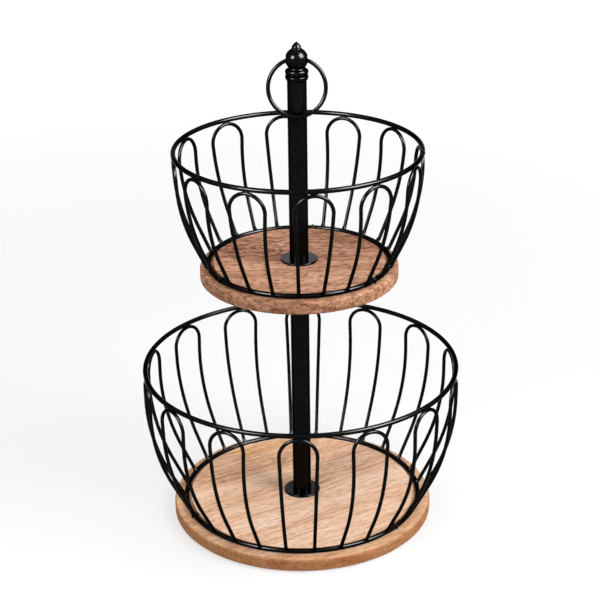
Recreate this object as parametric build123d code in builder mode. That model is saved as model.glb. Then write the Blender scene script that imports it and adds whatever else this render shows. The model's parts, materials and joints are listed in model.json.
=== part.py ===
from build123d import *
from math import asin, atan2, cos, hypot, radians, sin, sqrt, tan
import os

os.makedirs("parts", exist_ok=True)

# Two-tier fruit basket: two round wooden plates on a tube post, each carrying a welded wire basket,
# with a turned finial and a swinging ring handle on top.
# Millimetres and degrees. The origin is on the floor, under the post. +Z is up and the front is -Y.
# Every angle around the post is measured from the front, towards +X.

# Gaps between pieces
weld_gap = 0.1
foot_weld_gap = 0.42
seat_gap = 0.1
press_gap = 0.05
sleeve_gap = 0.15
screw_gap = 0.3

# Wooden plates: a raised centre disc stands above the ledge that the basket sits on
plate_thickness = 16.0
base_plate_radius = 127.0
upper_plate_radius = 93.7
ledge_depth = 3.0
disc_clearance = 2.0
plate_top_round = 3.2
plate_bottom_round = 2.0
disc_round = 0.8

# Foot pads under the base plate
pad_count = 4
pad_radius = 7.0
pad_thickness = 1.5
pad_inset = 20.0
first_pad_angle = 45.0

# Post
tube_radius = 9.0
tube_wall = 1.2
lower_tube_length = 232.1
upper_tube_length = 174.9
flange_radius = 17.75
flange_thickness = 2.0
flange_round = 0.8

# Fasteners inside the post, all M6
screw_radius = 3.0
thread_engagement = 12.0
insert_length = 18.0
stud_end_chamfer = 0.5
bolt_head_radius = 5.25
bolt_head_height = 3.3
bolt_head_round = 1.2
bolt_socket_width = 4.0
bolt_socket_depth = 2.0
washer_radius = 9.0
washer_thickness = 1.2
recess_depth = 6.0
recess_clearance = 1.5

# Basket wire
ring_wire_radius = 2.3
arch_wire_radius = 1.75

# Lower basket: its ring and rim keep their distances from the edge of the base plate
lower_ring_inset = 11.9
lower_rim_overhang = 23.0
lower_basket_height = 140.3
lower_arch_count = 14
lower_first_arch_angle = -1.2
lower_crown_radius = 17.3
lower_leg_taper = 1.95
lower_crown_slope = 0.7
lower_bend_height_share = 0.549
lower_bend_length_share = 0.81
lower_foot_outset = 0.6
lower_staple_angles = (50.2, 166.0, -65.5)

# Upper basket, with the same distances from the edge of the upper plate
upper_ring_inset = 8.2
upper_rim_overhang = 20.8
upper_basket_height = 109.5
upper_arch_count = 12
upper_first_arch_angle = 6.8
upper_crown_radius = 17.1
upper_leg_taper = 3.9
upper_crown_slope = 3.4
upper_bend_height_share = 0.606
upper_bend_length_share = 0.918
upper_foot_outset = 1.8
upper_staple_angles = (51.8, 171.0, -56.5)

# Staples that hold the base rings down on the wood
staple_wire_radius = 0.6
staple_reach = 7.0

# Finial, turned from one piece
bead_radius = 10.7
bead_seat_radius = 9.3
lower_bead_widest = 3.6
groove_radius = 9.5
groove_height = 4.8
upper_bead_widest = 8.3
shoulder_radius = 9.0
shoulder_height = 10.5
neck_radius = 7.7
ball_radius = 10.6
ball_height = 19.4
collar_radius = 4.4
collar_height = 1.1
collar_groove_radius = 3.8
acorn_radius = 4.35
acorn_height = 5.2
acorn_tip_radius = 0.4
acorn_rim_share = 0.12
acorn_side_shares = (0.63, 0.6)
finial_thread_depth = 9.0
handle_hole_radius = 3.6
handle_hole_chamfer = 0.5

# Ring handle, hanging in front of the post and leaning on it
handle_wire_radius = 1.9
handle_ring_radius = 26.1
handle_hang_gap = 0.4
handle_rest_gap = 0.3

# Heights and radii that follow from the sizes above
base_plate_bottom = pad_thickness
base_plate_top = base_plate_bottom + plate_thickness
upper_plate_bottom = base_plate_top + lower_tube_length
upper_plate_top = upper_plate_bottom + plate_thickness
upper_tube_top = upper_plate_top + upper_tube_length
handle_axis_height = upper_tube_top + ball_height

lower_base_ring_radius = base_plate_radius - lower_ring_inset
lower_rim_radius = base_plate_radius + lower_rim_overhang
upper_base_ring_radius = upper_plate_radius - upper_ring_inset
upper_rim_radius = upper_plate_radius + upper_rim_overhang
tube_bore_radius = tube_radius - tube_wall
screw_hole_radius = screw_radius + press_gap
plate_hole_radius = screw_radius + screw_gap
recess_radius = washer_radius + recess_clearance
staple_leg_offset = ring_wire_radius + weld_gap + staple_wire_radius
staple_hole_radius = staple_wire_radius + press_gap


def outward_frame(angle):
    """Frame at the origin: local X points outward at the angle and local Z up."""
    return Plane.XY.rotated((0, 0, angle - 90))


def outward_wall(angle):
    """Upright plane through the post's axis: local X points outward at the angle and local Y up."""
    frame = outward_frame(angle)
    return Plane(origin=frame.origin, x_dir=frame.x_dir, z_dir=-frame.y_dir)


def circle_levels(piece):
    """The round edges of a piece in groups, from the lowest level to the highest."""
    return piece.edges().filter_by(GeomType.CIRCLE).group_by(Axis.Z)


def wooden_plate(radius, base_ring_radius, bottom, staple_angles):
    """Round plate with its raised disc, the hole for the post's screw and the staple holes."""
    ledge_height = bottom + plate_thickness - ledge_depth
    disc_radius = base_ring_radius - ring_wire_radius - disc_clearance
    with BuildPart() as plate:
        with BuildSketch(Plane.XY.offset(bottom)):
            Circle(radius)
        extrude(amount=plate_thickness - ledge_depth)
        fillet(circle_levels(plate)[0], radius=plate_bottom_round)
        fillet(circle_levels(plate)[-1], radius=plate_top_round)
        with BuildSketch(Plane.XY.offset(ledge_height)):
            Circle(disc_radius)
        extrude(amount=ledge_depth)
        fillet(circle_levels(plate)[-1], radius=disc_round)
        with BuildSketch(Plane.XY.offset(bottom)):
            Circle(plate_hole_radius)
        extrude(amount=plate_thickness, mode=Mode.SUBTRACT)
        for angle in staple_angles:
            inner_hole = (base_ring_radius - staple_leg_offset, 0)
            outer_hole = (base_ring_radius + staple_leg_offset, 0)
            with BuildSketch(outward_frame(angle).offset(ledge_height)):
                with Locations(inner_hole, outer_hole):
                    Circle(staple_hole_radius)
            extrude(amount=-staple_reach - seat_gap, mode=Mode.SUBTRACT)
    return plate


def wire_ring(radius, height):
    """Closed ring of the heavier wire, lying level around the post."""
    with BuildPart() as ring:
        with BuildSketch(Plane.XZ):
            with Locations((radius, height)):
                Circle(ring_wire_radius)
        revolve(axis=Axis.Z)
    return ring


def basket_arch(
    base_ring_radius,
    rim_radius,
    base_ring_height,
    basket_height,
    crown_radius,
    leg_taper,
    crown_slope,
    bend_height_share,
    bend_length_share,
    foot_outset,
):
    """One inverted U of wire: two splayed, bent legs and a half-round crown under the rim.

    A leg is drawn by its distance from the post and by its run along the leg, and its two straight
    stretches are joined by one large bend. The upper stretch has the crown's slope, and the lower one
    slopes from the bend's corner to the base ring. X points outward and Y along the rim.
    """
    taper = radians(leg_taper)
    slope_high = radians(crown_slope)
    crown_splay = asin(cos(slope_high) * sin(taper))
    crown_lean = atan2(sin(slope_high), cos(slope_high) * cos(taper))
    crown_rise = crown_radius * (1 + sin(crown_splay))
    apex_height = basket_height - ring_wire_radius - arch_wire_radius - weld_gap

    top_out = rim_radius - crown_rise * sin(crown_lean)
    top_run = (apex_height - crown_rise * cos(crown_lean)) / cos(taper)
    foot_half_gap = crown_radius * cos(crown_splay) - top_run * sin(taper)
    bend_run = bend_height_share * top_run
    bend_out = top_out - (top_run - bend_run) * sin(slope_high) / cos(slope_high)

    ring_out = sqrt(base_ring_radius**2 - foot_half_gap**2)
    ring_to_bend = hypot(bend_out - ring_out, bend_run)
    slope_low = atan2(bend_out - ring_out, bend_run) - asin(foot_outset / ring_to_bend)
    foot_standoff = ring_wire_radius + foot_weld_gap
    foot_out = ring_out + foot_outset * cos(slope_low) + foot_standoff * sin(slope_low)
    foot_run = foot_standoff * cos(slope_low) - foot_outset * sin(slope_low)

    lower_stretch = hypot(bend_out - foot_out, bend_run - foot_run)
    upper_stretch = hypot(top_out - bend_out, top_run - bend_run)
    bend_length = bend_length_share * min(lower_stretch, upper_stretch)
    bend_radius = bend_length / tan(abs(slope_low - slope_high) / 2)

    def leg_points(side):
        """Foot, bend corner and top of the leg on one side of the arch."""
        stations = ((foot_out, foot_run), (bend_out, bend_run), (top_out, top_run))
        return [
            (out, side * (foot_half_gap + run * sin(taper)), base_ring_height + run * cos(taper))
            for out, run in stations
        ]

    with BuildPart() as arch:
        with BuildLine() as path:
            foot, bend, crown_start = leg_points(1)
            up_leg = FilletPolyline(foot, bend, crown_start, radius=bend_radius)
            crown_end, far_bend, far_foot = leg_points(-1)[::-1]
            crown_direction = Vector(crown_start) - Vector(bend)
            TangentArc(crown_start, crown_end, tangent=crown_direction)
            FilletPolyline(crown_end, far_bend, far_foot, radius=bend_radius)
        with BuildSketch(Plane(origin=up_leg @ 0, z_dir=up_leg % 0)):
            Circle(arch_wire_radius)
        sweep(path=path.wire())
    return arch


def post_tube(bottom, length):
    """Round tube of the post."""
    with BuildPart() as tube:
        with BuildSketch(Plane.XY.offset(bottom)):
            Circle(tube_radius)
            Circle(tube_bore_radius, mode=Mode.SUBTRACT)
        extrude(amount=length)
    return tube


def post_flange(bottom):
    """Flat collar round the foot of a tube, with a rounded upper edge."""
    with BuildPart() as flange:
        with BuildSketch(Plane.XY.offset(bottom)):
            Circle(flange_radius)
            Circle(tube_radius + sleeve_gap, mode=Mode.SUBTRACT)
        extrude(amount=flange_thickness)
        outer_edge = circle_levels(flange)[-1].sort_by(SortBy.RADIUS)[-1]
        fillet(outer_edge, radius=flange_round)
    return flange


def threaded_inserts(tube_bottom, tube_length):
    """Plugs pressed into both ends of a tube, flush with them, that take the M6 screws."""
    with BuildPart() as inserts:
        for bottom in (tube_bottom, tube_bottom + tube_length - insert_length):
            with BuildSketch(Plane.XY.offset(bottom)):
                Circle(tube_bore_radius - press_gap)
                Circle(screw_hole_radius, mode=Mode.SUBTRACT)
            extrude(amount=insert_length)
    return inserts


def threaded_stud(bottom, length):
    """M6 stud with chamfered ends."""
    with BuildPart() as stud:
        with BuildSketch(Plane.XY.offset(bottom)):
            Circle(screw_radius)
        extrude(amount=length)
        chamfer(stud.edges().filter_by(GeomType.CIRCLE), length=stud_end_chamfer)
    return stud


def ring_staples(base_ring_radius, base_ring_height, staple_angles):
    """U-shaped wire staples driven over the base ring into the plate."""
    leg_inside = base_ring_radius - staple_leg_offset
    leg_outside = base_ring_radius + staple_leg_offset
    leg_end = base_ring_height - ring_wire_radius - seat_gap - staple_reach
    with BuildPart() as staples:
        for angle in staple_angles:
            with BuildLine(outward_wall(angle)) as path:
                Line((leg_inside, leg_end), (leg_inside, base_ring_height))
                ThreePointArc(
                    (leg_inside, base_ring_height),
                    (base_ring_radius, base_ring_height + staple_leg_offset),
                    (leg_outside, base_ring_height),
                )
                Line((leg_outside, base_ring_height), (leg_outside, leg_end))
            with BuildSketch(Plane(origin=path.wire() @ 0, z_dir=path.wire() % 0)):
                Circle(staple_wire_radius)
            sweep(path=path.wire())
    return staples


# Foot pads
with BuildPart() as foot_pads:
    with BuildSketch():
        with PolarLocations(base_plate_radius - pad_inset, pad_count, first_pad_angle - 90):
            Circle(pad_radius)
    extrude(amount=pad_thickness)
foot_pads.part.label = "foot_pads"
export_step(foot_pads.part, "parts/foot_pads.step")

# Base plate, with a recess underneath for the bolt's head and washer
with BuildPart() as base_plate:
    add(wooden_plate(base_plate_radius, lower_base_ring_radius, base_plate_bottom, lower_staple_angles).part)
    with BuildSketch(Plane.XY.offset(base_plate_bottom)):
        Circle(recess_radius)
    extrude(amount=recess_depth, mode=Mode.SUBTRACT)
base_plate.part.label = "base_plate"
export_step(base_plate.part, "parts/base_plate.step")

# Upper plate
upper_plate = wooden_plate(
    upper_plate_radius, upper_base_ring_radius, upper_plate_bottom, upper_staple_angles
)
upper_plate.part.label = "upper_plate"
export_step(upper_plate.part, "parts/upper_plate.step")

# Wire baskets
lower_ring_height = base_plate_top - ledge_depth + ring_wire_radius + seat_gap
upper_ring_height = upper_plate_top - ledge_depth + ring_wire_radius + seat_gap

lower_base_ring = wire_ring(lower_base_ring_radius, lower_ring_height)
lower_base_ring.part.label = "lower_base_ring"
export_step(lower_base_ring.part, "parts/lower_base_ring.step")

lower_rim = wire_ring(lower_rim_radius, lower_ring_height + lower_basket_height)
lower_rim.part.label = "lower_rim"
export_step(lower_rim.part, "parts/lower_rim.step")

upper_base_ring = wire_ring(upper_base_ring_radius, upper_ring_height)
upper_base_ring.part.label = "upper_base_ring"
export_step(upper_base_ring.part, "parts/upper_base_ring.step")

upper_rim = wire_ring(upper_rim_radius, upper_ring_height + upper_basket_height)
upper_rim.part.label = "upper_rim"
export_step(upper_rim.part, "parts/upper_rim.step")

lower_arch = basket_arch(
    lower_base_ring_radius,
    lower_rim_radius,
    lower_ring_height,
    lower_basket_height,
    lower_crown_radius,
    lower_leg_taper,
    lower_crown_slope,
    lower_bend_height_share,
    lower_bend_length_share,
    lower_foot_outset,
)
upper_arch = basket_arch(
    upper_base_ring_radius,
    upper_rim_radius,
    upper_ring_height,
    upper_basket_height,
    upper_crown_radius,
    upper_leg_taper,
    upper_crown_slope,
    upper_bend_height_share,
    upper_bend_length_share,
    upper_foot_outset,
)
for tier_name, tier_arch, arch_count, first_angle in (
    ("lower", lower_arch, lower_arch_count, lower_first_arch_angle),
    ("upper", upper_arch, upper_arch_count, upper_first_arch_angle),
):
    for number in range(arch_count):
        with BuildPart() as arch_copy:
            with Locations(outward_frame(first_angle + number * 360 / arch_count)):
                add(tier_arch.part)
        arch_copy.part.label = f"{tier_name}_arch_{number + 1:02d}"
        export_step(arch_copy.part, f"parts/{arch_copy.part.label}.step")

# Staples
lower_staples = ring_staples(lower_base_ring_radius, lower_ring_height, lower_staple_angles)
lower_staples.part.label = "lower_staples"
export_step(lower_staples.part, "parts/lower_staples.step")

upper_staples = ring_staples(upper_base_ring_radius, upper_ring_height, upper_staple_angles)
upper_staples.part.label = "upper_staples"
export_step(upper_staples.part, "parts/upper_staples.step")

# Post tubes, their flanges and their threaded inserts
lower_tube = post_tube(base_plate_top, lower_tube_length)
lower_tube.part.label = "lower_tube"
export_step(lower_tube.part, "parts/lower_tube.step")

upper_tube = post_tube(upper_plate_top, upper_tube_length)
upper_tube.part.label = "upper_tube"
export_step(upper_tube.part, "parts/upper_tube.step")

lower_flange = post_flange(base_plate_top)
lower_flange.part.label = "lower_flange"
export_step(lower_flange.part, "parts/lower_flange.step")

upper_flange = post_flange(upper_plate_top)
upper_flange.part.label = "upper_flange"
export_step(upper_flange.part, "parts/upper_flange.step")

lower_tube_inserts = threaded_inserts(base_plate_top, lower_tube_length)
lower_tube_inserts.part.label = "lower_tube_inserts"
export_step(lower_tube_inserts.part, "parts/lower_tube_inserts.step")

upper_tube_inserts = threaded_inserts(upper_plate_top, upper_tube_length)
upper_tube_inserts.part.label = "upper_tube_inserts"
export_step(upper_tube_inserts.part, "parts/upper_tube_inserts.step")

# Stud that joins the two tubes through the upper plate
joining_stud = threaded_stud(
    upper_plate_bottom - thread_engagement, plate_thickness + 2 * thread_engagement
)
joining_stud.part.label = "joining_stud"
export_step(joining_stud.part, "parts/joining_stud.step")

# Stud that holds the finial on the upper tube
finial_stud = threaded_stud(
    upper_tube_top - thread_engagement, thread_engagement + finial_thread_depth
)
finial_stud.part.label = "finial_stud"
export_step(finial_stud.part, "parts/finial_stud.step")

# Washer and button-head bolt under the base plate
recess_ceiling = base_plate_bottom + recess_depth
washer_bottom = recess_ceiling - washer_thickness
with BuildPart() as base_washer:
    with BuildSketch(Plane.XY.offset(washer_bottom)):
        Circle(washer_radius)
        Circle(plate_hole_radius, mode=Mode.SUBTRACT)
    extrude(amount=washer_thickness)
base_washer.part.label = "base_washer"
export_step(base_washer.part, "parts/base_washer.step")

bolt_head_bottom = washer_bottom - bolt_head_height
bolt_end = base_plate_top + thread_engagement
with BuildPart() as base_bolt:
    with BuildSketch(Plane.XY.offset(bolt_head_bottom)):
        Circle(bolt_head_radius)
    extrude(amount=bolt_head_height)
    fillet(circle_levels(base_bolt)[0], radius=bolt_head_round)
    with BuildSketch(Plane.XY.offset(washer_bottom)):
        Circle(screw_radius)
    extrude(amount=bolt_end - washer_bottom)
    chamfer(circle_levels(base_bolt)[-1], length=stud_end_chamfer)
    with BuildSketch(Plane.XY.offset(bolt_head_bottom)):
        RegularPolygon(bolt_socket_width / 2, 6, major_radius=False)
    extrude(amount=bolt_socket_depth, mode=Mode.SUBTRACT)
base_bolt.part.label = "base_bolt"
export_step(base_bolt.part, "parts/base_bolt.step")

# Finial: two beads, a neck, a cross-drilled ball, a small collar and an acorn tip
neck_on_ball = ball_height - sqrt(ball_radius**2 - neck_radius**2)
collar_on_ball = ball_height + sqrt(ball_radius**2 - collar_radius**2)
collar_top = collar_on_ball + collar_height
acorn_rim = collar_top + acorn_rim_share * acorn_height
acorn_side_radius = acorn_side_shares[0] * acorn_radius
acorn_side_height = collar_top + acorn_side_shares[1] * acorn_height
acorn_tip = collar_top + acorn_height
mouth_half_length = sqrt(ball_radius**2 - handle_hole_radius**2)
mouth_start = mouth_half_length - handle_hole_chamfer
cut_end = ball_radius + handle_hole_chamfer
with BuildPart() as finial:
    with BuildSketch(Plane(origin=(0, 0, upper_tube_top), x_dir=(0, 1, 0), z_dir=(1, 0, 0))):
        with BuildLine():
            Line((0, 0), (bead_seat_radius, 0))
            lower_belly = (bead_radius, lower_bead_widest)
            TangentArc(lower_belly, (bead_seat_radius, 0), tangent=(0, -1))
            TangentArc(lower_belly, (groove_radius, groove_height), tangent=(0, 1))
            upper_belly = (bead_radius, upper_bead_widest)
            TangentArc(upper_belly, (groove_radius, groove_height), tangent=(0, -1))
            TangentArc(upper_belly, (shoulder_radius, shoulder_height), tangent=(0, 1))
            neck_top = (neck_radius, neck_on_ball)
            TangentArc(neck_top, (shoulder_radius, shoulder_height), tangent=(0, -1))
            collar_foot = (collar_radius, collar_on_ball)
            ThreePointArc(neck_top, (ball_radius, ball_height), collar_foot)
            TangentArc(collar_foot, (collar_groove_radius, collar_top), tangent=(0, 1))
            Line((collar_groove_radius, collar_top), (acorn_radius, acorn_rim))
            ThreePointArc(
                (acorn_radius, acorn_rim),
                (acorn_side_radius, acorn_side_height),
                (acorn_tip_radius, acorn_tip),
            )
            Line((acorn_tip_radius, acorn_tip), (0, acorn_tip))
            Line((0, acorn_tip), (0, 0))
        make_face()
    revolve(axis=Axis.Z)
    with BuildSketch(Plane.XY.offset(upper_tube_top)):
        Circle(screw_hole_radius)
    extrude(amount=finial_thread_depth + screw_gap, mode=Mode.SUBTRACT)
    handle_axis = Axis((0, 0, handle_axis_height), (1, 0, 0))
    with BuildSketch(Plane(origin=handle_axis.position, x_dir=(1, 0, 0), z_dir=(0, -1, 0))):
        Polygon(
            (-cut_end, 0),
            (-cut_end, handle_hole_radius + cut_end - mouth_start),
            (-mouth_start, handle_hole_radius),
            (mouth_start, handle_hole_radius),
            (cut_end, handle_hole_radius + cut_end - mouth_start),
            (cut_end, 0),
            align=None,
        )
    revolve(axis=handle_axis, mode=Mode.SUBTRACT)
finial.part.label = "finial"
export_step(finial.part, "parts/finial.step")

# Ring handle: it hangs just above the lower edge of the hole's mouths, and at rest its plane tilts
# forward until its foot leans on the post
handle_sag = handle_ring_radius - sqrt(handle_ring_radius**2 - mouth_start**2)
handle_rise = handle_sag - (handle_hole_radius - handle_wire_radius) + handle_hang_gap
handle_drop = handle_ring_radius - handle_rise
handle_lean_offset = tube_radius + handle_wire_radius + handle_rest_gap
handle_rest_tilt = asin(handle_lean_offset / (handle_drop + handle_ring_radius))
handle_centre = (
    0,
    -handle_drop * sin(handle_rest_tilt),
    handle_axis_height - handle_drop * cos(handle_rest_tilt),
)
handle_normal = (0, cos(handle_rest_tilt), -sin(handle_rest_tilt))
with BuildPart(Plane(origin=handle_centre, x_dir=(1, 0, 0), z_dir=handle_normal)) as ring_handle:
    Torus(handle_ring_radius, handle_wire_radius)
ring_handle.part.label = "ring_handle"
export_step(ring_handle.part, "parts/ring_handle.step")
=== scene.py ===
"""Looks of the tiered wire basket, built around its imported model. Metres, +Z up, front towards -Y."""

import json
import math
from collections import namedtuple

import bmesh
import bpy
from mathutils import Matrix, Vector, noise


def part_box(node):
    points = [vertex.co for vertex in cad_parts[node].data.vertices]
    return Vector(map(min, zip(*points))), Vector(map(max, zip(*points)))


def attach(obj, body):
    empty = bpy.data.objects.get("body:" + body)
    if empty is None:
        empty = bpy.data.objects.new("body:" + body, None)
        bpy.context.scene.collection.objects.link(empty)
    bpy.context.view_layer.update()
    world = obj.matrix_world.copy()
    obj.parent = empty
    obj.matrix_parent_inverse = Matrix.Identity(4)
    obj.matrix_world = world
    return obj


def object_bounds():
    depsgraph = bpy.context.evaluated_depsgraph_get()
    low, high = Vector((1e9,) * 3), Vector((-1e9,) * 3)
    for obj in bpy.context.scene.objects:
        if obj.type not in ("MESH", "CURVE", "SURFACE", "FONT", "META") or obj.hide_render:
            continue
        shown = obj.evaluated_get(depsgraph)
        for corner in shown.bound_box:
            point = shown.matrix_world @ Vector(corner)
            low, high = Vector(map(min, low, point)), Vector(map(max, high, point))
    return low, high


MM = 0.001
UP = Vector((0.0, 0.0, 1.0))
WHITE = (1.0, 1.0, 1.0)

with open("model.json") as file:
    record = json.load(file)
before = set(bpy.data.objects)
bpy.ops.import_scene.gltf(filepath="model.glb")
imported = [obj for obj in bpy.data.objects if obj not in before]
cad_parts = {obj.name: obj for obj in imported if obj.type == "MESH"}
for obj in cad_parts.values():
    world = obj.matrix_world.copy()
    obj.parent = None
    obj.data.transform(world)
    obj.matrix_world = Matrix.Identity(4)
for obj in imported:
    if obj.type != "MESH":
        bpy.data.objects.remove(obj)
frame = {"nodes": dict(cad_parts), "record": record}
cad_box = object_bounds()
nodes = frame["nodes"]

# Camera, as fitted to the rims, base rings and plates of the photograph
SENSOR_WIDTH = 36.0
IMAGE_SIDE = 600
FOCAL_PIXELS = 1724.3
CAMERA_DISTANCE = 1.5053
CAMERA_HEIGHT = 0.8810
CAMERA_PITCH = 23.585
CAMERA_PAN = 0.011
CAMERA_ROLL = -0.749
CLIP_START = 0.05
CLIP_END = 50.0

# Where lamps stand around their target: degrees from the front towards +X, degrees up, distance
LEFT_STAND = (-44.0, 27.0, 2.0)
RIGHT_STAND = (63.0, 37.0, 2.0)
TOP_STAND = (20.0, 80.0, 2.2)

# Floor: how far below the object it lies, and its grey, which stays low so that its own glow
# makes it white and a shadow stays faint
FLOOR_GAP = 0.02 * MM
FLOOR_GREY = (0.35, 0.35, 0.35)

# Radius of the arches' wire
ARCH_WIRE = 1.75 * MM

# Fine turned ring below the finial's tip
COLLAR_BELOW_TIP = 6.3 * MM
COLLAR_RADIUS = 3.8 * MM
COLLAR_WIRE = 0.85 * MM

# Nodes whose paint has more sheen at a low angle
FLANGES = ("lower_flange", "upper_flange")

# What most of a noise lies between
NOISE_LOW = 0.3
NOISE_HIGH = 0.7

# How far a grain wanders and ripples sideways and upwards at full waver
GRAIN_WANDER = (0.0, 30 * MM, 20 * MM)
GRAIN_RIPPLE = (0.0, 2.2 * MM, 1.5 * MM)

# How far the grain of one board lies from the next board's, along it and upwards
BOARD_JUMP_ALONG = 1.7
BOARD_JUMP_UP = 0.4

# Shares of a wood's bands, streaks and fibres in its tone, and the middle and half span of the sum
BAND_SHARE = 0.36
STREAK_SHARE = 0.40
FIBRE_SHARE = 0.24
TONE_MIDDLE = 0.48
TONE_HALF_SPAN = 0.12

# What the dark curls of a figured grain multiply the wood's colour by, and how closely they lie
CURL_SHADE = (0.36, 0.29, 0.25)
CURL_RATE = 24.0

# Half width and strength of the seam between two boards, and half width of the rim band's blur
SEAM_HALF_WIDTH = 0.5 * MM
SEAM_STRENGTH = 0.35
BAND_BLUR = 3 * MM

# A level wire ring: radius and height of its centre line, and radius of its wire
Ring = namedtuple("Ring", "radius height wire")


def add_mesh(name, faces, body, material):
    """A new smooth mesh piece from a bmesh, riding on a body."""
    mesh = bpy.data.meshes.new(name)
    bmesh.ops.recalc_face_normals(faces, faces=faces.faces)
    faces.to_mesh(mesh)
    faces.free()
    for polygon in mesh.polygons:
        polygon.use_smooth = True
    mesh.materials.append(material)
    piece = bpy.data.objects.new(name, mesh)
    bpy.context.scene.collection.objects.link(piece)
    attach(piece, body)


def loft(faces, rings):
    """Skins a list of closed rings of points and closes both ends with a fan."""
    loops = [[faces.verts.new(point) for point in ring] for ring in rings]
    for low, high in zip(loops, loops[1:]):
        count = len(low)
        for i in range(count):
            j = (i + 1) % count
            faces.faces.new((low[i], low[j], high[j], high[i]))
    for loop in (loops[0], loops[-1]):
        centre = faces.verts.new(sum((v.co for v in loop), Vector()) / len(loop))
        for i in range(len(loop)):
            faces.faces.new((loop[i], loop[(i + 1) % len(loop)], centre))


def ellipse(centre, first, second, count):
    """Points around a centre, from the two half axes of their ellipse."""
    angles = [2 * math.pi * i / count for i in range(count)]
    return [centre + first * math.cos(a) + second * math.sin(a) for a in angles]


def uneven(centre, points, scale, amount, swell=0.0):
    """The points moved out by a swell, and in or out by a small steady unevenness."""
    moved = []
    for point in points:
        reach = 1.0 + amount * noise.noise(point * scale) + swell
        moved.append(centre + (point - centre) * reach)
    return moved


def stations(count):
    """Places along a bead, from -1 to 1."""
    return [-1 + 2 * k / (count - 1) for k in range(count)]


def rgba(colour):
    """A linear colour with full opacity."""
    return (*colour, 1.0)


def from_screen(red, green, blue):
    """Linear colour of a colour seen on screen, given from 0 to 255."""
    values = (red / 255, green / 255, blue / 255)
    return tuple(v / 12.92 if v <= 0.04045 else ((v + 0.055) / 1.055) ** 2.4 for v in values)


class Shader:
    """Short calls for the nodes of one material or world."""

    def __init__(self, tree):
        self.tree = tree

    def add(self, kind, inputs=(), **settings):
        """A node with its settings, and each input either linked or set."""
        node = self.tree.nodes.new("ShaderNode" + kind)
        for key, value in settings.items():
            setattr(node, key, value)
        self.feed(node, dict(inputs))
        return node

    def feed(self, node, inputs):
        """Links each given input of a node to a socket, or sets it to a plain value."""
        for key, value in inputs.items():
            if isinstance(value, bpy.types.NodeSocket):
                self.tree.links.new(value, node.inputs[key])
            else:
                node.inputs[key].default_value = value

    def math(self, operation, first, second=0.0):
        """An operation on one or two numbers."""
        return self.add("Math", {0: first, 1: second}, operation=operation).outputs[0]

    def vector_math(self, operation, first, second):
        """An operation on two vectors."""
        return self.add("VectorMath", {0: first, 1: second}, operation=operation).outputs[0]

    def length(self, vector):
        """Length of a vector."""
        return self.add("VectorMath", {0: vector}, operation="LENGTH").outputs["Value"]

    def component(self, vector, axis):
        """One component of a vector."""
        return self.add("SeparateXYZ", {0: vector}).outputs[axis]

    def noise(self, vector, scale=1.0, detail=2.0, roughness=0.5):
        """Noise between 0 and 1, most of it from NOISE_LOW to NOISE_HIGH."""
        inputs = {"Vector": vector, "Scale": scale, "Detail": detail, "Roughness": roughness}
        return self.add("TexNoise", inputs).outputs[0]

    def noise_vector(self, vector, scale, detail, reach):
        """A noise vector around zero, multiplied by a reach for each axis."""
        inputs = {"Vector": vector, "Scale": scale, "Detail": detail}
        centred = self.vector_math("SUBTRACT", self.add("TexNoise", inputs).outputs[1], (0.5, 0.5, 0.5))
        return self.vector_math("MULTIPLY", centred, reach)

    def spread(self, value, low, high, to_low=0.0, to_high=1.0, smooth=False):
        """Takes a value from one range to another, held at both ends."""
        inputs = {0: value, 1: low, 2: high, 3: to_low, 4: to_high}
        kind = "SMOOTHSTEP" if smooth else "LINEAR"
        return self.add("MapRange", inputs, interpolation_type=kind, clamp=True).outputs[0]

    def mix(self, factor, first, second, blend="MIX"):
        """Goes from one colour to another by a factor."""
        node = self.add("Mix", {0: factor}, data_type="RGBA", blend_type=blend)
        first_index, second_index = (i for i, socket in enumerate(node.inputs) if socket.type == "RGBA")
        self.feed(node, {first_index: first, second_index: second})
        return next(socket for socket in node.outputs if socket.type == "RGBA")

    def tinted(self, factor, colour, tint):
        """Multiplies a colour by a tint, as far as the factor says."""
        return self.mix(factor, colour, rgba(tint), blend="MULTIPLY")

    def ramp(self, factor, places, colours):
        """Colours along a value, from their places on it."""
        node = self.add("ValToRGB", {0: factor})
        points = node.color_ramp.elements
        while len(points) < len(places):
            points.new(0.5)
        for point, place, colour in zip(points, places, colours):
            point.position = place
            point.color = rgba(colour)
        return node.outputs[0]

    def bump(self, height, strength, depth):
        """Surface relief from a height, for a Normal input."""
        inputs = {"Strength": strength, "Distance": depth, "Height": height}
        return self.add("Bump", inputs).outputs[0]

    def mapped(self, vector, turn=0.0, scale=(1.0, 1.0, 1.0), place=(0.0, 0.0, 0.0)):
        """Moves a place to the origin, turns it about the upright axis and stretches it."""
        moved = self.vector_math("SUBTRACT", vector, place)
        turned = self.add("Mapping", {"Vector": moved, "Rotation": (0.0, 0.0, -math.radians(turn))})
        return self.vector_math("MULTIPLY", turned.outputs[0], scale)


def new_material(name):
    """A node material, its short calls, its main shader and each point's place on the object."""
    material = bpy.data.materials.new(name)
    material.use_nodes = True
    shader = Shader(material.node_tree)
    surface = material.node_tree.nodes["Principled BSDF"]
    place = shader.add("TexCoord").outputs["Object"]
    return material, shader, surface, place


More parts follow.
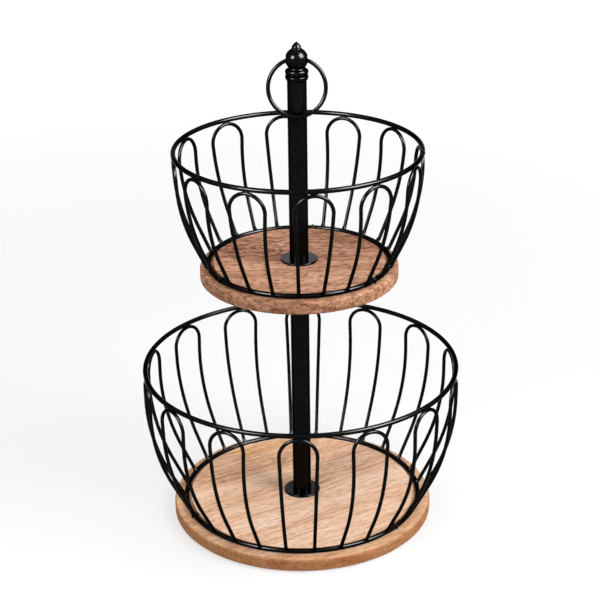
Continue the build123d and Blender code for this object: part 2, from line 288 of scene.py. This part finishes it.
def black_paint(name, sheen):
    """Satin gloss black paint over steel, with a faint orange peel, uneven gloss and duller specks.

    It is shaded as a metal of a very dark reflectance, which keeps the glare of a low angle down
    to the sheen.
    """
    material, shader, surface, place = new_material(name)
    cloud = shader.noise(place, scale=140.0, detail=3.0)
    speck = shader.noise(place, scale=1900.0, detail=1.0)
    peel = shader.noise(place, scale=620.0, detail=2.0)
    tones = ((0.0052, 0.0052, 0.0052), (0.0072, 0.0070, 0.0070))
    gloss = shader.spread(cloud, NOISE_LOW, NOISE_HIGH, to_low=0.16, to_high=0.22)
    specks = shader.spread(speck, low=0.6, high=0.75, to_high=0.08)
    shader.feed(surface, {
        "Base Color": shader.ramp(cloud, (NOISE_LOW, NOISE_HIGH), tones),
        "Metallic": 1.0,
        "Roughness": shader.math("ADD", gloss, specks),
        "Specular Tint": rgba((sheen, sheen, sheen)),
        "Normal": shader.bump(peel, strength=0.05, depth=0.12 * MM),
    })
    return material


def zinc_steel():
    """Zinc plated steel with a fine spangle."""
    material, shader, surface, place = new_material("zinc_steel")
    spangle = shader.noise(place, scale=900.0, detail=3.0)
    tones = ((0.42, 0.42, 0.41), (0.66, 0.66, 0.64))
    shader.feed(surface, {
        "Base Color": shader.ramp(spangle, (NOISE_LOW, NOISE_HIGH), tones),
        "Metallic": 1.0,
        "Roughness": shader.spread(spangle, NOISE_LOW, NOISE_HIGH, to_low=0.28, to_high=0.42),
        "Normal": shader.bump(spangle, strength=0.15, depth=0.05 * MM),
    })
    return material


def foot_rubber():
    """Dull black rubber."""
    material, shader, surface, place = new_material("foot_rubber")
    grain = shader.noise(place, scale=1500.0, detail=3.0)
    tones = ((0.018, 0.018, 0.018), (0.035, 0.034, 0.033))
    shader.feed(surface, {
        "Base Color": shader.ramp(grain, (NOISE_LOW, NOISE_HIGH), tones),
        "Roughness": 0.8,
        "Normal": shader.bump(grain, strength=0.3, depth=0.1 * MM),
    })
    return material


def wavy_grain(shader, straight, waver, board):
    """Places along a grain that wanders and ripples by the waver, and differs from board to board."""
    wander_reach = tuple(reach * waver for reach in GRAIN_WANDER)
    ripple_reach = tuple(reach * waver for reach in GRAIN_RIPPLE)
    wander = shader.noise_vector(straight, scale=9.0, detail=2.0, reach=wander_reach)
    ripple = shader.noise_vector(straight, scale=70.0, detail=1.0, reach=ripple_reach)
    jump_along = shader.math("MULTIPLY", board, BOARD_JUMP_ALONG)
    jump_up = shader.math("MULTIPLY", board, BOARD_JUMP_UP)
    jump = shader.add("CombineXYZ", {0: jump_along, 2: jump_up}).outputs[0]
    grain = shader.vector_math("ADD", shader.vector_math("ADD", straight, wander), ripple)
    return shader.vector_math("ADD", grain, jump)


def wood_patches(shader, colour, place, streaks, patches):
    """A wood's colour with its patches: soft, ragged ovals that tint it, with dark curls in them.

    A patch is a place, a turn, half lengths, a tint, a strength and how strong its curls are. Some
    patches are painted light and shade on a plate's edge, not the wood's own figure.
    """
    ragged = shader.noise_vector(place, scale=35.0, detail=3.0, reach=(1.3, 1.3, 0.0))
    through_streaks = shader.spread(streaks, NOISE_LOW, high=0.62, to_low=1.0, to_high=0.55)
    for (x, y), turn, (half_long, half_wide), tint, strength, curl in patches:
        size = (1 / half_long, 1 / half_wide, 0.0)
        oval = shader.mapped(place, turn=turn, scale=size, place=(x, y, 0.0))
        reach = shader.length(shader.vector_math("ADD", oval, ragged))
        mask = shader.spread(reach, low=1.15, high=0.45, to_high=strength, smooth=True)
        mask = shader.math("MULTIPLY", mask, through_streaks)
        colour = shader.tinted(mask, colour, tint)
        rings = shader.math("SINE", shader.math("MULTIPLY", reach, CURL_RATE))
        rings = shader.spread(rings, low=-0.1, high=0.95, smooth=True)
        curls = shader.math("MULTIPLY", shader.math("MULTIPLY", mask, rings), curl)
        colour = shader.tinted(curls, colour, CURL_SHADE)
    return colour


def wood(
    name, grain_turn, waver, boards, tones, contrast, dashes, pore,
    patches, back_tint, band, edge_tint_and_painted_light, speckle,
):
    """Oiled hardwood, glued up from boards of one width, with a seam at a distance from the middle.

    The grain runs at an angle to +X and strays from its line by the waver. Its dark, middle and
    light tones lie closer together at a low contrast. Short dashes, so many to the metre along and
    across, darken it by a share. The boards behind that seam take the back tint, the band beyond a
    radius its own tint and the turned edge the edge tint. That tint is partly the edge's own colour
    and partly painted light and shade on the upright sides. Specks of the pores' colour mottle that
    edge by the speckle. The patches are as wood_patches says.
    """
    board_width, board_shift = boards
    dash_share, dashes_along, dashes_across = dashes
    band_radius, band_tint = band
    material, shader, surface, place = new_material(name)
    straight = shader.mapped(place, turn=grain_turn)
    from_seam = shader.math("SUBTRACT", shader.component(straight, "Y"), board_shift)
    board_place = shader.math("DIVIDE", from_seam, board_width)
    board = shader.math("FLOOR", board_place)
    grain = wavy_grain(shader, straight, waver, board)

    def layer(along, across, detail, roughness=0.5):
        """Noise that is stretched along the grain, by so many features to the metre each way."""
        stretched = shader.vector_math("MULTIPLY", grain, (along, across, across))
        return shader.noise(stretched, detail=detail, roughness=roughness)

    bands = layer(3.5, 42.0, detail=3.0, roughness=0.55)
    streaks = layer(22.0, 260.0, detail=3.0, roughness=0.6)
    fibres = layer(75.0, 900.0, detail=2.0, roughness=0.6)
    pores = layer(110.0, 1500.0, detail=1.0)
    short = layer(dashes_along, dashes_across, detail=2.0, roughness=0.55)

    tone = shader.math("MULTIPLY", bands, BAND_SHARE)
    tone = shader.math("ADD", tone, shader.math("MULTIPLY", streaks, STREAK_SHARE))
    tone = shader.math("ADD", tone, shader.math("MULTIPLY", fibres, FIBRE_SHARE))
    half_span = TONE_HALF_SPAN / contrast
    tone_places = (TONE_MIDDLE - half_span, TONE_MIDDLE, TONE_MIDDLE + half_span)
    colour = shader.ramp(tone, tone_places, tones)
    dash = shader.spread(short, low=0.50, high=0.66, to_high=dash_share)
    colour = shader.mix(dash, colour, rgba(tones[0]))
    colour = wood_patches(shader, colour, place, streaks, patches)
    colour = shader.tinted(shader.spread(board, low=-1.0, high=0.0), colour, back_tint)

    seam = shader.math("SUBTRACT", board_place, shader.math("ROUND", board_place))
    seam = shader.math("ABSOLUTE", seam)
    seam = shader.spread(seam, 0.0, SEAM_HALF_WIDTH / board_width, to_low=SEAM_STRENGTH, to_high=0.0)
    colour = shader.mix(seam, colour, rgba(pore))
    colour = shader.mix(shader.spread(pores, low=0.60, high=0.70, to_high=0.6), colour, rgba(pore))

    radius = shader.length(shader.vector_math("MULTIPLY", place, (1.0, 1.0, 0.0)))
    outer = shader.spread(radius, band_radius - BAND_BLUR, band_radius + BAND_BLUR, smooth=True)
    colour = shader.tinted(outer, colour, band_tint)

    # Upright sides: their tint is partly their own colour and partly painted light and shade
    normal = shader.add("TexCoord").outputs["Normal"]
    upright = shader.math("ABSOLUTE", shader.component(normal, "Z"))
    edge = shader.spread(upright, low=0.55, high=0.93, to_low=1.0, to_high=0.0, smooth=True)
    colour = shader.tinted(edge, colour, edge_tint_and_painted_light)
    end_grain = shader.vector_math("MULTIPLY", place, (430.0, 430.0, 640.0))
    mottle = shader.noise(end_grain, detail=3.0, roughness=0.65)
    mottle = shader.spread(mottle, low=0.52, high=0.64, to_high=speckle)
    colour = shader.mix(shader.math("MULTIPLY", mottle, edge), colour, rgba(pore))

    raised = shader.math("MULTIPLY", fibres, 0.6)
    sunk = shader.spread(pores, low=0.58, high=0.70, to_high=0.7)
    shader.feed(surface, {
        "Base Color": colour,
        "Roughness": shader.spread(streaks, NOISE_LOW, NOISE_HIGH, to_low=0.55, to_high=0.68),
        "Specular IOR Level": 0.02,
        "Normal": shader.bump(shader.math("SUBTRACT", raised, sunk), strength=0.35, depth=0.22 * MM),
    })
    return material


def light_wood():
    """The base plate's wood: pinkish tan with fine slanting streaks, a yellow edge and brown clouds."""
    return wood(
        "light_wood",
        grain_turn=30.0,
        waver=0.45,
        boards=(0.105, 0.036),
        tones=(from_screen(190, 136, 104), from_screen(241, 197, 163), from_screen(255, 226, 202)),
        contrast=0.85,
        dashes=(0.34, 110.0, 500.0),
        pore=from_screen(124, 78, 48),
        patches=[
            ((-0.052, 0.052), 30.0, (0.085, 0.024), from_screen(234, 220, 212), 0.5, 0.6),
            ((-0.035, 0.088), 12.0, (0.060, 0.013), from_screen(255, 240, 196), 0.9, 0.0),
            ((0.048, 0.062), 30.0, (0.052, 0.017), from_screen(232, 212, 200), 0.55, 0.6),
            # Painted shade: darkens the front of the plate's rim and edge, where less light falls than
            # at the right
            ((0.010, -0.128), 0.0, (0.160, 0.020), from_screen(222, 206, 190), 0.6, 0.0),
        ],
        back_tint=(1.07, 1.05, 1.04),
        band=(0.1175, (0.84, 0.76, 0.64)),
        # Painted shade on the upright edge, together with the edge's own browner colour
        edge_tint_and_painted_light=(0.76, 0.59, 0.45),
        speckle=0.25,
    )


def dark_wood():
    """The upper plate's wood: redder and browner, with curly clouds towards the back."""
    return wood(
        "dark_wood",
        grain_turn=2.0,
        waver=1.0,
        boards=(0.110, -0.004),
        tones=(from_screen(124, 84, 62), from_screen(184, 133, 105), from_screen(212, 164, 135)),
        contrast=1.3,
        dashes=(0.8, 140.0, 280.0),
        pore=from_screen(86, 48, 30),
        patches=[
            ((-0.046, 0.030), 14.0, (0.050, 0.034), from_screen(246, 242, 240), 1.0, 1.0),
            ((0.048, 0.040), -10.0, (0.046, 0.030), from_screen(216, 206, 202), 1.0, 0.7),
            ((-0.010, 0.008), 0.0, (0.060, 0.010), from_screen(206, 196, 192), 0.8, 0.4),
            ((-0.005, -0.094), 0.0, (0.050, 0.014), from_screen(212, 196, 186), 0.7, 0.0),
            # Painted light: lightens the right front of the plate's edge, where the right lamp falls
            ((0.086, -0.056), 40.0, (0.045, 0.022), (1.28, 1.34, 1.28), 1.0, 0.0),
        ],
        back_tint=(1.0, 1.0, 1.02),
        band=(0.088, (0.94, 0.92, 0.88)),
        # Painted light that lightens the upright edge, together with the edge's own paler colour
        edge_tint_and_painted_light=(1.2, 1.2, 1.2),
        speckle=0.75,
    )


def dress_nodes(materials):
    """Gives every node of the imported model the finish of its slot, and the flanges their own paint."""
    for part in frame["record"]["subparts"]:
        mesh = nodes[part["node"]].data
        mesh.materials.clear()
        mesh.materials.append(materials[part["material_slot"]])
    for node in FLANGES:
        nodes[node].data.materials[0] = materials["flange_paint"]


def ring_of(node):
    """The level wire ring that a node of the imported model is."""
    low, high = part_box(node)
    wire = (high.z - low.z) / 2
    return Ring(high.x - wire, (high.z + low.z) / 2, wire)


def arch_sides(node):
    """An arch's direction outward and along its rim, and each side's points, from the lowest up."""
    points = [vertex.co.copy() for vertex in nodes[node].data.vertices]
    middle = sum(points, Vector()) / len(points)
    outward = Vector((middle.x, middle.y, 0.0)).normalized()
    along = Vector((-outward.y, outward.x, 0.0))
    sides = []
    for sign in (1, -1):
        side = [p for p in points if p.dot(along) * sign > 0]
        sides.append(sorted(side, key=lambda p: p.z))
    return outward, along, sides


def mean_below(points, height):
    """Middle of the points that lie below a height."""
    chosen = [p for p in points if p.z < height]
    return sum(chosen, Vector()) / len(chosen)


def foot_weld(faces, foot, leg, ring):
    """Fillet bead where a leg stands on its base ring, longer along the ring than across it."""
    count, sectors = 11, 20
    neck, flare_along, flare_across, bulge = 0.97, 0.66, 0.20, 0.05
    outward = Vector((foot.x, foot.y, 0.0)).normalized()
    side = leg.cross(Vector((-outward.y, outward.x, 0.0))).normalized()
    along = side.cross(leg).normalized()
    above_ring = 0.25 * ring.wire
    overrun = 1.7 * ARCH_WIRE
    start = outward * ring.radius + UP * ring.height + leg * above_ring
    length = (foot - start).dot(leg) + overrun
    rings = []
    for k in range(count):
        share = k / (count - 1)
        centre = start + leg * length * share
        centre += (foot - centre - leg * (foot - centre).dot(leg)) * share
        flare = (1 - share) ** 2
        half_along = along * ARCH_WIRE * (neck + flare_along * flare)
        half_across = side * ARCH_WIRE * (neck + flare_across * flare)
        points = ellipse(centre, half_along, half_across, sectors)
        swell = bulge * math.sin(math.pi * share)
        rings.append(uneven(centre, points, scale=900.0, amount=0.13, swell=swell))
    loft(faces, rings)


def crown_weld(faces, crown, outward, along, rim):
    """Bead that fills the grooves between a crown and its rim, on the inside and the outside."""
    count, sectors = 15, 16
    thin_end, bulge = 0.10, 0.52
    half_length = 1.5 * ARCH_WIRE
    crown_radius = 10 * ARCH_WIRE
    top = rim.height - 0.75 * rim.wire
    lowest = crown.z + 0.35 * ARCH_WIRE
    rings = []
    for station in stations(count):
        run = station * half_length
        bottom = lowest - run * run / (2 * crown_radius)
        inward = run * run / (2 * crown.xy.length)
        centre = Vector((crown.x, crown.y, (top + bottom) / 2)) + along * run - outward * inward
        half_out = outward * ARCH_WIRE * (thin_end + bulge * (1 - station ** 2) ** 0.5)
        half_up = UP * (top - bottom) / 2
        points = ellipse(centre, half_out, half_up, sectors)
        rings.append(uneven(centre, points, scale=800.0, amount=0.10))
    loft(faces, rings)


def butt_weld(faces, angle, ring):
    """Slightly swollen, dressed seam where a ring's two ends meet, with a fine groove in it."""
    count, sectors = 33, 28
    flush_end, swelling, groove_width = 0.99, 0.15, 0.13
    half_angle = 1.3 * ring.wire / ring.radius
    rings = []
    for station in stations(count):
        turn = math.radians(angle) + station * half_angle
        outward = Vector((math.sin(turn), -math.cos(turn), 0.0))
        centre = outward * ring.radius + UP * ring.height
        groove = math.exp(-((station / groove_width) ** 2))
        dome = 1 - station ** 2
        radius = ring.wire * (flush_end + swelling * dome ** 2 * (1 - groove))
        points = ellipse(centre, outward * radius, UP * radius, sectors)
        rings.append(uneven(centre, points, scale=700.0, amount=0.05 * dome))
    loft(faces, rings)


def add_welds(tier, material, rim_seam_angle, base_seam_angle):
    """The welds of one basket: at each leg's foot, at each crown and in each ring."""
    rim = ring_of(f"{tier}_rim")
    base = ring_of(f"{tier}_base_ring")
    slice_height = 2 * ARCH_WIRE
    feet, crowns, seams = bmesh.new(), bmesh.new(), bmesh.new()
    for name in sorted(node for node in nodes if node.startswith(f"{tier}_arch_")):
        outward, along, sides = arch_sides(name)
        highest = max(side[-1].z for side in sides)
        crown = outward * rim.radius + UP * (highest - ARCH_WIRE)
        crown_weld(crowns, crown, outward, along, rim)
        for side in sides:
            foot = mean_below(side, side[0].z + slice_height)
            higher = [p for p in side if p.z > side[0].z + 2 * slice_height]
            knee = mean_below(higher, higher[0].z + slice_height)
            foot_weld(feet, foot, (knee - foot).normalized(), base)
    butt_weld(seams, rim_seam_angle, rim)
    butt_weld(seams, base_seam_angle, base)
    add_mesh(f"{tier}_foot_welds", feet, "stand", material)
    add_mesh(f"{tier}_crown_welds", crowns, "stand", material)
    add_mesh(f"{tier}_ring_seams", seams, "stand", material)


def add_collar(material):
    """Fine turned ring below the finial's tip."""
    faces = bmesh.new()
    sectors, sides = 48, 16
    height = cad_box[1].z - COLLAR_BELOW_TIP
    grid = []
    for k in range(sectors):
        a = 2 * math.pi * k / sectors
        outward = Vector((math.cos(a), math.sin(a), 0.0))
        centre = outward * COLLAR_RADIUS + UP * height
        points = ellipse(centre, outward * COLLAR_WIRE, UP * COLLAR_WIRE, sides)
        grid.append([faces.verts.new(point) for point in points])
    for k in range(sectors):
        for i in range(sides):
            j, m = (k + 1) % sectors, (i + 1) % sides
            faces.faces.new((grid[k][i], grid[j][i], grid[j][m], grid[k][m]))
    add_mesh("finial_collar", faces, "stand", material)


def add_camera():
    """The photograph's view."""
    data = bpy.data.cameras.new("camera")
    data.sensor_width = SENSOR_WIDTH
    data.lens = FOCAL_PIXELS / IMAGE_SIDE * SENSOR_WIDTH
    data.clip_start = CLIP_START
    data.clip_end = CLIP_END
    pitch, pan, roll = (math.radians(a) for a in (CAMERA_PITCH, CAMERA_PAN, CAMERA_ROLL))
    ahead = Vector((math.sin(pan), math.cos(pan), 0.0))
    forward = ahead * math.cos(pitch) - UP * math.sin(pitch)
    level = Vector((math.cos(pan), -math.sin(pan), 0.0))
    upward = level.cross(forward)
    right = math.cos(roll) * level + math.sin(roll) * upward
    up = -math.sin(roll) * level + math.cos(roll) * upward
    camera = bpy.data.objects.new("camera", data)
    turned = Matrix((right, up, -forward)).transposed().to_4x4()
    camera.matrix_world = Matrix.Translation((0.0, -CAMERA_DISTANCE, CAMERA_HEIGHT)) @ turned
    bpy.context.scene.collection.objects.link(camera)
    bpy.context.scene.camera = camera


def seen_directly(shader):
    """1 for rays that show the surroundings: straight from the camera, mirrored or through glass."""
    path = shader.add("LightPath")
    seen = shader.math("MAXIMUM", path.outputs["Is Camera Ray"], path.outputs["Is Glossy Ray"])
    return shader.math("MAXIMUM", seen, path.outputs["Is Transmission Ray"])


def add_world(fill):
    """White surroundings that light the object softly."""
    world = bpy.data.worlds.new("studio")
    world.use_nodes = True
    shader = Shader(world.node_tree)
    background = world.node_tree.nodes["Background"]
    strength = shader.spread(seen_directly(shader), low=0.0, high=1.0, to_low=fill)
    shader.feed(background, {"Color": rgba(WHITE), "Strength": strength})
    bpy.context.scene.world = world


def add_floor(half_side, near_glow, far_glow, near_radius, far_radius):
    """White floor that keeps a faint shadow and fades into the surroundings."""
    faces = bmesh.new()
    steps = 8
    bmesh.ops.create_grid(faces, x_segments=steps, y_segments=steps, size=half_side)
    mesh = bpy.data.meshes.new("floor")
    faces.to_mesh(mesh)
    faces.free()
    floor = bpy.data.objects.new("floor", mesh)
    floor.location.z = cad_box[0].z - FLOOR_GAP
    bpy.context.scene.collection.objects.link(floor)

    material, shader, surface, place = new_material("floor_white")
    distance = shader.length(place)
    glow = shader.spread(distance, near_radius, far_radius, near_glow, far_glow, smooth=True)
    shader.feed(surface, {
        "Base Color": rgba(FLOOR_GREY),
        "Roughness": 0.9,
        "Specular IOR Level": 0.0,
        "Emission Color": rgba(WHITE),
        "Emission Strength": shader.math("MULTIPLY", glow, seen_directly(shader)),
    })
    mesh.materials.append(material)


def add_softbox(name, stand, side, power, target, mirrored):
    """Square area light aimed at a point, which either lights the object or is only mirrored by it."""
    azimuth, elevation, distance = stand
    turn, rise = math.radians(azimuth), math.radians(elevation)
    level = Vector((math.sin(turn), -math.cos(turn), 0.0))
    direction = level * math.cos(rise) + UP * math.sin(rise)
    data = bpy.data.lights.new(name, "AREA")
    data.shape = "SQUARE"
    data.size = side
    data.energy = power
    light = bpy.data.objects.new(name, data)
    light.location = target + direction * distance
    light.rotation_euler = (-direction).to_track_quat("-Z", "Y").to_euler()
    light.visible_camera = False
    light.visible_diffuse = not mirrored
    light.visible_glossy = mirrored
    bpy.context.scene.collection.objects.link(light)


def add_lamps():
    """Soft lamps that light the object, and the two that its paint mirrors as highlights."""
    middle = (cad_box[0] + cad_box[1]) / 2
    tip = Vector((0.0, 0.0, cad_box[1].z))
    add_softbox("left_lamp", LEFT_STAND, side=0.9, power=13.0, target=middle, mirrored=False)
    add_softbox("right_lamp", RIGHT_STAND, side=1.2, power=33.0, target=middle, mirrored=False)
    add_softbox("top_lamp", TOP_STAND, side=1.8, power=21.9, target=middle, mirrored=False)
    add_softbox("left_gleam", LEFT_STAND, side=0.75, power=220.0, target=tip, mirrored=True)
    add_softbox("right_gleam", RIGHT_STAND, side=1.25, power=480.0, target=tip, mirrored=True)


add_camera()

finishes = {
    "black_paint": black_paint("black_paint", sheen=0.45),
    "flange_paint": black_paint("flange_paint", sheen=0.9),
    "light_wood": light_wood(),
    "dark_wood": dark_wood(),
    "zinc_steel": zinc_steel(),
    "foot_rubber": foot_rubber(),
}
dress_nodes(finishes)
add_welds("lower", finishes["black_paint"], rim_seam_angle=196.0, base_seam_angle=152.0)
add_welds("upper", finishes["black_paint"], rim_seam_angle=82.0, base_seam_angle=170.0)
add_collar(finishes["black_paint"])

add_world(fill=0.28)
add_floor(half_side=6.0, near_glow=0.62, far_glow=0.90, near_radius=0.4, far_radius=2.2)
add_lamps()

bpy.context.scene.view_settings.view_transform = "Standard"
